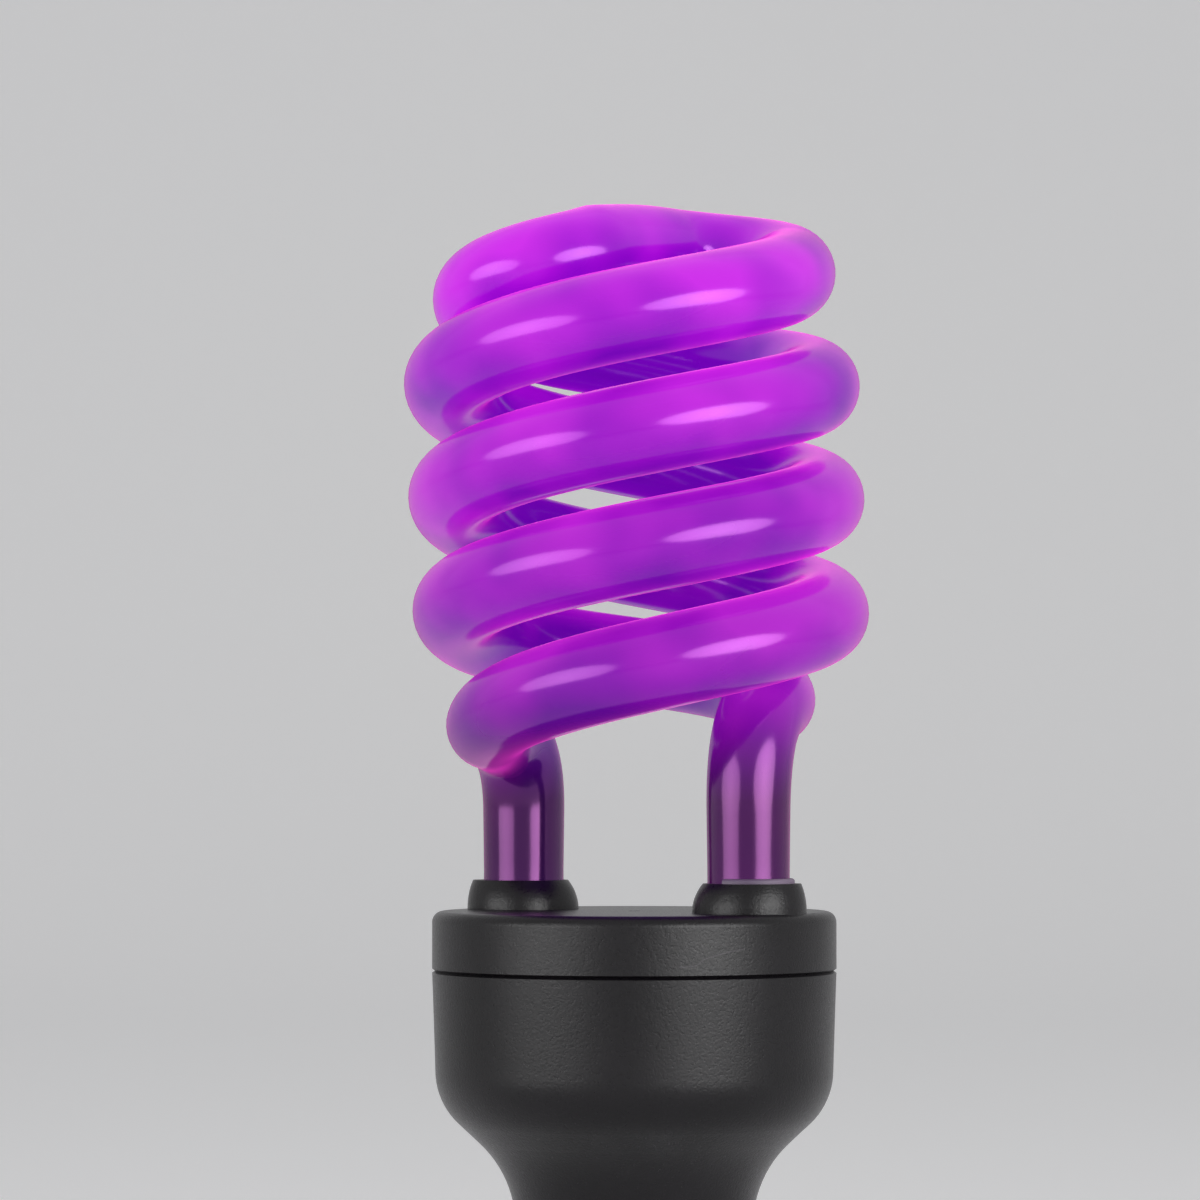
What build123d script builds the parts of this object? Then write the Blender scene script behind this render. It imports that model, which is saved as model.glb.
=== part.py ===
"""Spiral black-light lamp of an insect trap: lit glass tube, ballast housing and screw cap.

Millimetres, +Z up the lamp, origin on the axis at the foot of the centre contact.
The lamp is seen from -Y, with +X to the right.
"""

from build123d import *

import os
from dataclasses import dataclass
from math import cos, radians, sin, sqrt, tan

os.makedirs("parts", exist_ok=True)

# Heights up the lamp
CAP_TOP = 25.5
NECK_RISE = 1.5
HOUSING_HEIGHT = 30.5
COVER_HEIGHT = 7.1
LEG_SINK = 4.4
LEG_STRAIGHT = 8.5

# Ballast housing and its cover
BODY_RADIUS = 24.2
BODY_DRAFT = 0.4
NECK_RADIUS = 14.2
SHOULDER_ROUND = 8.6
NECK_ROUND = 13.6
SHOULDER_TURN = 47.0
WALL = 1.8
COVER_EDGE = 1.3
SEAM_GROOVE_HEIGHT = 0.5
SEAM_GROOVE_DEPTH = 0.4
LIP_THICKNESS = 1.3
LIP_REACH = 5.0
SNAP_PROUD = 0.35
SNAP_CLEARANCE = 0.1
SNAP_DROP = 3.2
GATE_RADIUS = 0.7
GATE_DEPTH = 0.2
RIB_COUNT = 6
RIB_WIDTH = 1.4
RIB_LENGTH = 5.0
RIB_BITE = 0.8

# Leg collars on the cover
LEG_SPREAD = 13.4
COLLAR_HEIGHT = 3.5
COLLAR_ROUND = 0.3
COLLAR_FOOT = (6.75, 0.1)
COLLAR_WAIST = (6.45, 0.25)
COLLAR_RIM = (5.8, 0.5)
COLLAR_WAIST_SHARE = 0.6
CEMENT_FILM = 0.2
SOCKET_GAP = 1.1
SOCKET_DEPTH = 4.2
BEAD_WIDTH = 0.6
BEAD_ROUND = 0.36
LEG_CLEAR = 1.5

# Glass tube, as a coil of two strands joined over the top
COIL_RADIUS = 21.95
HALF_TURN_RISE = 13.6
COIL_FOOT_RISE = 10.85
CREST_RISE = 3.2
COIL_LEAN = 2.23
COIL_TILT = 0.17
COIL_SHIFT = 0.25
COIL_TURN = 712.0
PULL_IN_TURN = 560.0
DROP_TURN = 170.0
BRIDGE_TURN = 141.2
GLASS_RADIUS = 5.43
LEG_RADIUS = 4.86
LEG_SHOULDER = 0.04
LEG_LAP = 2.0
COIL_SHOULDER = 0.02
COIL_LAP = 1.5
END_ROUND = 1.6
BEND_REACH = 42.0
COIL_STEP = 12.0
BRIDGE_STEP = 4.5
BEND_STEP = 5.0
FINE_TURN = 3.0
BEND_STEPS = 60
RIGHT_REACH = 19.6
RIGHT_START_DROP = 0.0
RIGHT_END_RADIUS = 15.4
RIGHT_END_LIFT = 2.7
RIGHT_BEND_OUT = 5.0
RIGHT_BEND_DOWN = 14.7
RIGHT_LEG_DEPTH = -9.9
LEFT_REACH = 18.1
LEFT_START_DROP = 3.3
LEFT_END_RADIUS = 18.7
LEFT_END_LIFT = -0.4
LEFT_BEND_OUT = 5.1
LEFT_BEND_DOWN = 11.7
LEFT_LEG_DEPTH = 10.8

# Screw cap: 26.3 mm thread of 3.62 mm pitch
THREAD_RADIUS = 13.15
THREAD_ROOT = 12.25
THREAD_PITCH = 3.62
THREAD_DROP = 15.3
SHELL_WALL = 0.35
KNUCKLE_RADIUS = 1.0
SKIRT_HEIGHT = 2.2
SPIGOT_CLEARANCE = 0.15
SPIGOT_FOOT = 14.0
LIP_RADIUS = 10.2
LIP_HEIGHT = 6.0
CONE_TOP = 8.8
INSULATOR_TOP = 10.0
CONTACT_RADIUS = 4.9
CONTACT_THICKNESS = 1.3
CONTACT_ROUND = 0.6
INSULATOR_STEP = 1.4
EYELET_RADIUS = 1.6
EYELET_BORE = 1.1
EYELET_FLARE = 2.5
EYELET_FLARE_HEIGHT = 0.5
SOLDER_HEIGHT = 3.0

# Circuit board and what it carries
BOARD_CLEARANCE = 0.4
BOARD_THICKNESS = 1.6
HOLE_RADIUS = 0.5
LEAD_RADIUS = 0.4
LEAD_PROUD = 1.2
LEAD_BEND = 0.8
PIN_SIDE = 0.8
PIN_HEIGHT = 4.2
PIN_OFFSET = 4.5
WIRE_RADIUS = 0.3
WIRE_OFFSET = 1.6
WIRE_BEND = 0.9
WRAP_HEIGHT = 2.9
CABLE_RADIUS = 0.6
CABLE_BEND = 2.0
LIVE_TURN = 42.0
LIVE_DROP = 4.5
NEUTRAL_TURN = 40.0
NEUTRAL_NECK = 7.0
CAN_RADIUS = 5.0
CAN_HEIGHT = 16.0
CAN_ROUND = 0.8
CAN_LEAD_SPREAD = 5.0
CHOKE_BASE = 1.0
CHOKE_GAP = 0.1
CHOKE_LEAD_X = 6.4
CHOKE_LEAD_Y = 4.4
CORE_WIDTH = 15.0
CORE_DEPTH = 5.0
CORE_HEIGHT = 11.0
CORE_LEG = 3.8
CORE_WINDOW = 3.4
CORE_YOKE = 2.0
SPOOL_DEPTH = 11.0
FLANGE = 0.7
FILM_ROUND = 1.5
FILM_FOOT_ROUND = 1.2
FILM_LEAD_INSET = 2.5
STARTING_SIZE = (5.0, 10.0, 8.0)
COUPLING_SIZE = (6.0, 12.0)
COUPLING_DROP = 4.7
TRANSISTOR_RADIUS = 2.4
TRANSISTOR_FLAT = 1.2
TRANSISTOR_HEIGHT = 4.8
TRANSISTOR_LEAD_SPREAD = 1.27
TOROID_RADIUS = 4.5
TOROID_BORE = 2.4
TOROID_HEIGHT = 4.0
TOROID_ROUND = 0.5
TOROID_LEAD_SPREAD = 7.0
AXIAL_SPREAD = 7.8
DIODE_RADIUS = 1.35
DIODE_LENGTH = 5.2
RESISTOR_RADIUS = 1.1
RESISTOR_LENGTH = 6.2
FUSE_RADIUS = 1.7
FUSE_LENGTH = 9.0
FUSE_TOP = 23.0
FUSE_LEAD = 2.0
FUSE_ROUND = 0.55

# Where the parts stand on the board
CAN_PLACE = (0.0, 7.5)
CHOKE_PLACE = (0.0, -8.0)
STARTING_PLACE = (-14.0, 3.0)
COUPLING_PLACE = (13.0, 4.5)
TOROID_PLACE = (14.0, -7.5)
TRANSISTOR_PLACES = ((-13.5, -7.5), (-13.5, -12.5))
DIODE_PLACES = ((-4.5, -1.5), (4.5, -1.5), (-4.5, 2.5), (4.5, 2.5))
RESISTOR_PLACES = ((0.0, -12.5), (0.0, -9.0), (0.0, -5.5))
LIVE_PLACE = (-10.0, 0.2)
NEUTRAL_PLACE = (8.8, 0.6)

SHOULDER_RADIUS = BODY_RADIUS - BODY_DRAFT
NECK_TOP = CAP_TOP + NECK_RISE
SEAM = NECK_TOP + HOUSING_HEIGHT
COVER_TOP = SEAM + COVER_HEIGHT
TUBE_END = COVER_TOP - LEG_SINK
THREAD_FOOT = CAP_TOP - THREAD_DROP
shoulder_rounds = SHOULDER_ROUND + NECK_ROUND
shoulder_in = shoulder_rounds * (1 - cos(radians(SHOULDER_TURN)))
shoulder_slope = (SHOULDER_RADIUS - NECK_RADIUS - shoulder_in) / sin(radians(SHOULDER_TURN))
shoulder_rise = shoulder_rounds * sin(radians(SHOULDER_TURN)) + shoulder_slope * cos(radians(SHOULDER_TURN))
shoulder_level = NECK_TOP + shoulder_rise
board_top = SEAM - LIP_REACH
board_bottom = board_top - BOARD_THICKNESS
lip_outer = SHOULDER_RADIUS - WALL
spigot_radius = THREAD_ROOT - SHELL_WALL - SPIGOT_CLEARANCE
collar_top = COVER_TOP + COLLAR_HEIGHT
BOARD_RADIUS = lip_outer - BOARD_CLEARANCE
RIB_REACH = BOARD_RADIUS - RIB_BITE
BEND_FOOT = collar_top + LEG_STRAIGHT
COIL_TOP = BEND_FOOT + COIL_FOOT_RISE + HALF_TURN_RISE * COIL_TURN / 180
CREST = COIL_TOP + CREST_RISE
COIL_MIDDLE = COIL_TOP - 2 * HALF_TURN_RISE
coupling_height = board_bottom - shoulder_level + COUPLING_DROP
leg_join = collar_top + LEG_CLEAR
neck_floor = CAP_TOP + WALL / 2
Z = Vector(0, 0, 1)


@dataclass(frozen=True)
class TubeHalf:
    """One half of the hand-bent tube, from the crest over the top to the foot of its leg."""

    side: int
    bridge_reach: float
    start_drop: float
    crest_power: float
    widen_turn: float
    end_radius: float
    end_lift: float
    bend_out: float
    bend_down: float
    leg_depth: float

    @property
    def leg(self):
        """Where the leg's axis stands."""
        return Vector(self.side * LEG_SPREAD, self.leg_depth, 0)


RIGHT = TubeHalf(
    side=1,
    bridge_reach=RIGHT_REACH,
    start_drop=RIGHT_START_DROP,
    crest_power=2.6,
    widen_turn=116.0,
    end_radius=RIGHT_END_RADIUS,
    end_lift=RIGHT_END_LIFT,
    bend_out=RIGHT_BEND_OUT,
    bend_down=RIGHT_BEND_DOWN,
    leg_depth=RIGHT_LEG_DEPTH,
)
LEFT = TubeHalf(
    side=-1,
    bridge_reach=LEFT_REACH,
    start_drop=LEFT_START_DROP,
    crest_power=1.25,
    widen_turn=161.0,
    end_radius=LEFT_END_RADIUS,
    end_lift=LEFT_END_LIFT,
    bend_out=LEFT_BEND_OUT,
    bend_down=LEFT_BEND_DOWN,
    leg_depth=LEFT_LEG_DEPTH,
)


def smooth(share):
    """Eases from 0 to 1."""
    share = min(max(share, 0.0), 1.0)
    return share * share * (3 - 2 * share)


def bridge_points(half):
    """Half of the S over the top: straight through the axis, then an arc into the coil."""
    turn = radians(BRIDGE_TURN)
    reach = half.bridge_reach
    arc_radius = -reach * cos(turn) / (1 - cos(turn))
    centre = reach - arc_radius
    corner = Vector(centre + arc_radius * cos(turn), arc_radius * sin(turn), 0)
    length = corner.length + arc_radius * turn
    coil_start = COIL_TOP - half.start_drop

    def height(run):
        return CREST - (CREST - coil_start) * (run / length) ** half.crest_power

    straight_steps = round(corner.length)
    for i in range(straight_steps):
        run = corner.length * i / straight_steps
        flat = corner * (i / straight_steps)
        yield Vector(flat.X, flat.Y, height(run))
    arc_steps = round(BRIDGE_TURN / FINE_TURN)
    for i in range(arc_steps + 1):
        angle = turn * (1 - i / arc_steps)
        run = corner.length + arc_radius * (turn - angle)
        yield Vector(centre + arc_radius * cos(angle), arc_radius * sin(angle), height(run))


def coil_points(half):
    """The helix below the bridge, pulled in a little towards its end."""
    steps = round(COIL_TURN / FINE_TURN)
    for i in range(1, steps + 1):
        turned = COIL_TURN * i / steps
        ending = smooth((turned - PULL_IN_TURN) / (COIL_TURN - PULL_IN_TURN))
        widening = smooth(turned / half.widen_turn)
        radius = half.bridge_reach + (COIL_RADIUS - half.bridge_reach) * widening
        radius += (half.end_radius - radius) * ending
        height = COIL_TOP - HALF_TURN_RISE * turned / 180 + half.end_lift * ending
        height -= half.start_drop * (1 - smooth(turned / DROP_TURN))
        angle = -radians(turned)
        yield Vector(radius * cos(angle), radius * sin(angle), height)


def leaned(point, half):
    """Turns a half to its own side and gives the coil its slight lean."""
    x, y = point.X * half.side, point.Y * half.side
    lean = tan(radians(COIL_LEAN)) * (point.Z - COIL_MIDDLE)
    return Vector(x - lean + COIL_SHIFT, y, point.Z + x * tan(radians(COIL_TILT)))


def half_route(half):
    """Points along one half, from the crest to the end of the leg, spaced to suit each bend."""
    fine = [leaned(p, half) for p in (*bridge_points(half), *coil_points(half))]
    bridge_last = len(list(bridge_points(half))) - 1
    coil_last = len(fine) - 1
    start, way = fine[-1], (fine[-1] - fine[-2]).normalized()
    foot = half.leg + Z * BEND_FOOT
    controls = (start, start + way * half.bend_out, foot + Z * half.bend_down, foot)
    for i in range(1, BEND_STEPS + 1):
        t = i / BEND_STEPS
        weights = ((1 - t) ** 3, 3 * (1 - t) ** 2 * t, 3 * (1 - t) * t * t, t**3)
        fine.append(sum((p * w for p, w in zip(controls, weights)), Vector()))
    runs = [0.0]
    for a, b in zip(fine, fine[1:]):
        runs.append(runs[-1] + (b - a).length)

    def spaced(first, last, step):
        """Points of the fine route from first up to but not including last, about a step apart."""
        count = round((runs[last] - runs[first]) / step)
        wanted = [runs[first] + (runs[last] - runs[first]) * k / count for k in range(count)]
        return [fine[min(range(len(runs)), key=lambda n: abs(runs[n] - run))] for run in wanted]

    route = spaced(0, bridge_last, BRIDGE_STEP)
    route += spaced(bridge_last, coil_last, COIL_STEP)
    route += spaced(coil_last, len(fine) - 1, BEND_STEP)
    return [*route, foot, half.leg + Z * leg_join, half.leg + Z * TUBE_END]


def housing_outline(inset, rim, foot):
    """Half profile of the housing from rim to foot, moved in by inset, and closed on the axis."""
    draft = BODY_DRAFT / (SEAM - shoulder_level)
    top = (SHOULDER_RADIUS - inset + draft * (rim - shoulder_level), rim)
    side = Line(top, (SHOULDER_RADIUS - inset, shoulder_level))
    upper = JernArc(side @ 1, (0, -1), SHOULDER_ROUND - inset, -SHOULDER_TURN)
    middle = Line(upper @ 1, (upper @ 1) + (upper % 1) * shoulder_slope)
    lower = JernArc(middle @ 1, middle % 1, NECK_ROUND + inset, SHOULDER_TURN)
    neck = Line(lower @ 1, ((lower @ 1).X, foot))
    Polyline(neck @ 1, (0, foot), (0, rim), top)


# Ballast housing: shell with a spigot that carries the screw cap
with BuildPart() as ballast_housing:
    with BuildSketch(Plane.XZ):
        with BuildLine():
            housing_outline(0, SEAM, CAP_TOP)
        make_face()
        with Locations((0, SPIGOT_FOOT)):
            Rectangle(spigot_radius, CAP_TOP - SPIGOT_FOOT, align=Align.MIN)
    revolve(axis=Axis.Z)
    rim = ballast_housing.edges().filter_by(GeomType.CIRCLE).group_by(Axis.Z)[-1]
    chamfer(rim, SEAM_GROOVE_HEIGHT / 2, SEAM_GROOVE_DEPTH)
    with BuildSketch(Plane.XZ):
        with BuildLine():
            housing_outline(WALL, SEAM, neck_floor)
        make_face()
        with Locations((0, SPIGOT_FOOT)):
            Rectangle(spigot_radius - WALL, neck_floor - SPIGOT_FOOT, align=Align.MIN)
        with Locations((0, SEAM - SNAP_DROP)):
            snap_reach = lip_outer + SNAP_PROUD + SNAP_CLEARANCE
            Rectangle(snap_reach, 2 * SNAP_PROUD, align=(Align.MIN, Align.CENTER))
    revolve(axis=Axis.Z, mode=Mode.SUBTRACT)
    with BuildSketch(Plane.XY.offset(board_bottom - RIB_LENGTH)):
        with PolarLocations(RIB_REACH, RIB_COUNT, start_angle=180 / RIB_COUNT):
            Rectangle(BODY_RADIUS - WALL / 2 - RIB_REACH, RIB_WIDTH, align=(Align.MIN, Align.CENTER))
    extrude(amount=RIB_LENGTH)


def leg_plane(half, height):
    """A level plane on a leg's axis, with its x pointing away from the lamp's axis."""
    return Plane(origin=half.leg + Z * height, x_dir=half.leg.normalized(), z_dir=Z)


# Tube cover: lid with two leg collars, sockets for the cement and a lip into the housing
with BuildPart() as tube_cover:
    with BuildSketch(Plane.XZ):
        with BuildLine():
            lip_inner = lip_outer - LIP_THICKNESS
            outline = Polyline(
                (0, COVER_TOP),
                (BODY_RADIUS - COVER_EDGE, COVER_TOP),
            )
            edge = JernArc(outline @ 1, (1, 0), COVER_EDGE, -90)
            Polyline(
                edge @ 1,
                (BODY_RADIUS, SEAM + SEAM_GROOVE_HEIGHT / 2),
                (BODY_RADIUS - SEAM_GROOVE_DEPTH, SEAM),
                (lip_outer, SEAM),
                (lip_outer, SEAM - SNAP_DROP + SNAP_PROUD),
                (lip_outer + SNAP_PROUD, SEAM - SNAP_DROP),
                (lip_outer, SEAM - SNAP_DROP - SNAP_PROUD),
                (lip_outer, board_top),
                (lip_inner, board_top),
                (lip_inner, SEAM + LIP_THICKNESS),
                (BODY_RADIUS - WALL, SEAM + 2 * LIP_THICKNESS),
                (BODY_RADIUS - WALL, COVER_TOP - WALL),
                (0, COVER_TOP - WALL),
                outline @ 0,
            )
        make_face()
    revolve(axis=Axis.Z)
    for half in (LEFT, RIGHT):
        for height, (radius, shift) in (
            (COVER_TOP - WALL / 2, COLLAR_FOOT),
            (COVER_TOP + COLLAR_HEIGHT * COLLAR_WAIST_SHARE, COLLAR_WAIST),
            (collar_top, COLLAR_RIM),
        ):
            with BuildSketch(leg_plane(half, height)):
                with Locations((shift, 0)):
                    Circle(radius)
        loft()
        with BuildSketch(leg_plane(half, COVER_TOP - WALL)):
            Circle(LEG_RADIUS + SOCKET_GAP + WALL / 2)
        extrude(amount=-SOCKET_DEPTH + WALL)
        with BuildSketch(leg_plane(half, COVER_TOP)):
            Circle(LEG_RADIUS + SOCKET_GAP)
        extrude(amount=-SOCKET_DEPTH, mode=Mode.SUBTRACT)
        with BuildSketch(leg_plane(half, COVER_TOP)):
            Circle(LEG_RADIUS + CEMENT_FILM)
        extrude(amount=COLLAR_HEIGHT, mode=Mode.SUBTRACT)
    with BuildSketch(Plane.XY.offset(COVER_TOP)):
        Circle(GATE_RADIUS)
        Circle(GATE_RADIUS / 2, mode=Mode.SUBTRACT)
    extrude(amount=-GATE_DEPTH, mode=Mode.SUBTRACT)

# Discharge tube: one piece of glass, from leg to leg in one sweep, with narrower legs
tube_path = Spline(*reversed(half_route(LEFT)[1:]), *half_route(RIGHT))
shoulder_radius = LEG_RADIUS + LEG_SHOULDER
leg_share = (leg_join - TUBE_END) / tube_path.length
bend_share = leg_share + BEND_REACH / tube_path.length
lap_share = bend_share + COIL_LAP / tube_path.length
bend_radius = GLASS_RADIUS - COIL_SHOULDER


def tube_section(path, place, radius, across):
    """A round section of the tube at a share of a path, with its seam turned to one side."""
    way = path % place
    seam = (across - way * across.dot(way)).normalized()
    with BuildSketch(Plane(origin=path @ place, x_dir=seam, z_dir=way)) as section:
        Circle(radius)
    return section.sketch


with BuildPart() as discharge_tube:
    coil_path = tube_path.trim(bend_share, 1 - bend_share)
    sweep(tube_section(coil_path, 0, GLASS_RADIUS, LEFT.leg), path=coil_path)
    for half, first, last, radii in (
        (LEFT, leg_share, lap_share, (shoulder_radius, bend_radius)),
        (RIGHT, 1 - lap_share, 1 - leg_share, (bend_radius, shoulder_radius)),
    ):
        bend_path = tube_path.trim(first, last)
        bend_ends = [tube_section(bend_path, place, radii[place], half.leg) for place in (0, 1)]
        sweep(bend_ends, path=bend_path, multisection=True)
        with BuildSketch(leg_plane(half, TUBE_END)):
            Circle(LEG_RADIUS)
        extrude(amount=leg_join + LEG_LAP - TUBE_END)
    fillet(discharge_tube.edges().group_by(Axis.Z)[0], END_ROUND)

# Cement that holds each leg, squeezed up through the collar, with a bead left on the right one
leg_cements = {}
bead_span = 2 * (LEG_RADIUS + BEAD_WIDTH)
for name, half in (("leg_cement_left", LEFT), ("leg_cement_right", RIGHT)):
    axis_plane = leg_plane(half, COVER_TOP)
    with BuildPart() as cement:
        with BuildSketch(axis_plane.offset(-SOCKET_DEPTH)):
            Circle(LEG_RADIUS + SOCKET_GAP)
            Circle(LEG_RADIUS, mode=Mode.SUBTRACT)
        extrude(amount=SOCKET_DEPTH)
        with BuildSketch(axis_plane):
            Circle(LEG_RADIUS + CEMENT_FILM)
            Circle(LEG_RADIUS, mode=Mode.SUBTRACT)
        extrude(amount=COLLAR_HEIGHT)
        if half is RIGHT:
            with BuildSketch(axis_plane.offset(COLLAR_HEIGHT)):
                Circle(LEG_RADIUS + BEAD_WIDTH)
                Circle(LEG_RADIUS, mode=Mode.SUBTRACT)
                Rectangle(bead_span, bead_span, align=(Align.MAX, Align.CENTER), mode=Mode.SUBTRACT)
            extrude(amount=BEAD_WIDTH)
            top_edges = cement.edges().filter_by(GeomType.CIRCLE).group_by(Axis.Z)[-1]
            bead_edge = top_edges.sort_by(SortBy.RADIUS)[-1]
            fillet(bead_edge, BEAD_ROUND)
    leg_cements[name] = cement.part

# Screw shell: thin sheet with a helical thread, and a plain skirt that the thread ends in
with BuildPart() as screw_shell:
    with BuildSketch(Plane.XZ):
        with BuildLine():
            Polyline(
                (LIP_RADIUS, LIP_HEIGHT),
                (THREAD_ROOT - SHELL_WALL, CONE_TOP),
                (THREAD_ROOT - SHELL_WALL, CAP_TOP),
                (THREAD_RADIUS, CAP_TOP),
                (THREAD_RADIUS, CAP_TOP - SKIRT_HEIGHT),
                (THREAD_ROOT, CAP_TOP - SKIRT_HEIGHT - SHELL_WALL),
                (THREAD_ROOT, CONE_TOP),
                (LIP_RADIUS + SHELL_WALL, LIP_HEIGHT),
                close=True,
            )
        make_face()
    revolve(axis=Axis.Z)
    thread_line = Helix(
        THREAD_PITCH,
        CAP_TOP - SKIRT_HEIGHT / 2 - THREAD_FOOT,
        THREAD_ROOT,
        center=(0, 0, THREAD_FOOT),
        mode=Mode.PRIVATE,
    )
    thread_start = Plane(origin=thread_line @ 0, x_dir=(1, 0, 0), z_dir=thread_line % 0)
    with BuildSketch(thread_start):
        with Locations((THREAD_RADIUS - THREAD_ROOT - KNUCKLE_RADIUS, 0)):
            Circle(KNUCKLE_RADIUS)
        with Locations((-SHELL_WALL / 2, 0)):
            Rectangle(
                2 * KNUCKLE_RADIUS,
                2 * KNUCKLE_RADIUS,
                align=(Align.MAX, Align.CENTER),
                mode=Mode.SUBTRACT,
            )
    sweep(path=thread_line, is_frenet=True)

# Insulator: dark glass ring that fills the foot of the shell
with BuildPart() as cap_insulator:
    with BuildSketch(Plane.XZ):
        with BuildLine():
            Polyline(
                (EYELET_RADIUS, CONTACT_THICKNESS),
                (CONTACT_RADIUS, CONTACT_THICKNESS),
                (CONTACT_RADIUS + INSULATOR_STEP, CONTACT_THICKNESS + INSULATOR_STEP),
                (LIP_RADIUS, LIP_HEIGHT),
                (THREAD_ROOT - SHELL_WALL, CONE_TOP),
                (THREAD_ROOT - SHELL_WALL, INSULATOR_TOP),
                (EYELET_RADIUS, INSULATOR_TOP),
                close=True,
            )
        make_face()
    revolve(axis=Axis.Z)

# Centre contact: brass disc whose eyelet is rolled over inside the insulator
with BuildPart() as centre_contact:
    with BuildSketch():
        Circle(CONTACT_RADIUS)
    extrude(amount=CONTACT_THICKNESS)
    fillet(centre_contact.edges().group_by(Axis.Z)[0], CONTACT_ROUND)
    with BuildSketch(Plane.XY.offset(CONTACT_THICKNESS)):
        Circle(EYELET_RADIUS)
    extrude(amount=INSULATOR_TOP - CONTACT_THICKNESS)
    with BuildSketch(Plane.XY.offset(INSULATOR_TOP)):
        Circle(EYELET_FLARE)
    extrude(amount=EYELET_FLARE_HEIGHT)
    Hole(EYELET_BORE)

# Solder that closes the eyelet round the live lead
with BuildPart() as contact_solder:
    with BuildSketch():
        Circle(EYELET_BORE)
    extrude(amount=SOLDER_HEIGHT)

def lead_places(place, spread, count=2, along_x=True):
    """Where the leads of one component pass through the board."""
    shifts = [spread * (k - (count - 1) / 2) for k in range(count)]
    if along_x:
        return [(place[0] + shift, place[1]) for shift in shifts]
    return [(place[0], place[1] + shift) for shift in shifts]


choke_leads = [
    (CHOKE_PLACE[0] + x * CHOKE_LEAD_X, CHOKE_PLACE[1] + y * CHOKE_LEAD_Y)
    for x in (-1, 1)
    for y in (-1, 1)
]
can_leads = lead_places(CAN_PLACE, CAN_LEAD_SPREAD)
starting_leads = lead_places(STARTING_PLACE, STARTING_SIZE[1] - FILM_LEAD_INSET, along_x=False)
coupling_leads = lead_places(COUPLING_PLACE, COUPLING_SIZE[1] - FILM_LEAD_INSET, along_x=False)
toroid_leads = lead_places(TOROID_PLACE, TOROID_LEAD_SPREAD)
transistor_leads = [lead_places(place, TRANSISTOR_LEAD_SPREAD, 3) for place in TRANSISTOR_PLACES]
diode_leads = [lead_places(place, AXIAL_SPREAD) for place in DIODE_PLACES]
resistor_leads = [lead_places(place, AXIAL_SPREAD) for place in RESISTOR_PLACES]
board_holes = [*choke_leads, *can_leads, *starting_leads, *coupling_leads, *toroid_leads]
for leads in (*transistor_leads, *diode_leads, *resistor_leads):
    board_holes += leads


def along_leg(half):
    """The level direction across a leg, square to the line from the lamp's axis."""
    return half.leg.normalized().rotate(Axis.Z, 90)


def pin_plane(half, sign, height):
    """A level plane on a wrap pin's axis, turned to face its leg."""
    place = half.leg + along_leg(half) * sign * PIN_OFFSET
    return Plane(origin=place + Z * height, x_dir=along_leg(half), z_dir=Z)


def leads_through(places):
    """Adds round leads that run through the board and out past its top."""
    with BuildSketch(Plane.XY.offset(board_bottom)) as ends:
        with Locations(*places):
            Circle(LEAD_RADIUS)
    extrude(ends.sketch, amount=BOARD_THICKNESS + LEAD_PROUD)


leg_sides = [(half, sign) for half in (LEFT, RIGHT) for sign in (-1, 1)]

# Circuit board: round, clamped between the housing's ribs and the cover's lip
with BuildPart() as circuit_board:
    with BuildSketch(Plane.XY.offset(board_bottom)):
        Circle(BOARD_RADIUS)
        with Locations(*board_holes):
            Circle(HOLE_RADIUS, mode=Mode.SUBTRACT)
    extrude(amount=BOARD_THICKNESS)
    for half, sign in leg_sides:
        with BuildSketch(pin_plane(half, sign, board_bottom)):
            Rectangle(PIN_SIDE, PIN_SIDE)
        extrude(amount=BOARD_THICKNESS, mode=Mode.SUBTRACT)

# Square pins that the tube's wires are wrapped on
with BuildPart() as wrap_pins:
    for half, sign in leg_sides:
        with BuildSketch(pin_plane(half, sign, board_bottom)):
            Rectangle(PIN_SIDE, PIN_SIDE)
        extrude(amount=BOARD_THICKNESS + PIN_HEIGHT)

# Four wires from the tube's ends to the pins
lead_wires = {}
wire_level = board_top + WRAP_HEIGHT
for half, sign in leg_sides:
    across = along_leg(half) * sign
    with BuildPart() as lead_wire:
        with BuildLine() as wire_path:
            start = half.leg + across * WIRE_OFFSET
            FilletPolyline(
                start + Z * TUBE_END,
                start + Z * wire_level,
                half.leg + across * (PIN_OFFSET - PIN_SIDE / 2) + Z * wire_level,
                radius=WIRE_BEND,
            )
        with BuildSketch(Plane(origin=wire_path.line @ 0, z_dir=wire_path.line % 0)):
            Circle(WIRE_RADIUS)
        sweep()
    name = f"lead_wire_{'left' if half is LEFT else 'right'}_{'inner' if sign < 0 else 'outer'}"
    lead_wires[name] = lead_wire.part

# Smoothing capacitor: an aluminium can that hangs into the neck
with BuildPart() as smoothing_capacitor:
    with BuildSketch(Plane.XY.offset(board_bottom)):
        with Locations(CAN_PLACE):
            Circle(CAN_RADIUS)
    extrude(amount=-CAN_HEIGHT)
    can_edges = smoothing_capacitor.edges().filter_by(GeomType.CIRCLE)
    fillet(can_edges, CAN_ROUND)
    leads_through(can_leads)

# Choke core: two E halves, closed round a middle leg
with BuildPart() as choke_core:
    core_top = board_bottom - CHOKE_BASE
    with BuildSketch(Plane.XZ.offset(-CHOKE_PLACE[1] - CORE_DEPTH / 2)):
        with Locations((CHOKE_PLACE[0], core_top)):
            Rectangle(CORE_WIDTH, CORE_HEIGHT, align=(Align.CENTER, Align.MAX))
        for side in (-1, 1):
            window_x = CHOKE_PLACE[0] + side * (CORE_LEG + CORE_WINDOW) / 2
            with Locations((window_x, core_top - CORE_HEIGHT / 2)):
                Rectangle(CORE_WINDOW, CORE_HEIGHT - 2 * CORE_YOKE, mode=Mode.SUBTRACT)
    extrude(amount=CORE_DEPTH)

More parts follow.
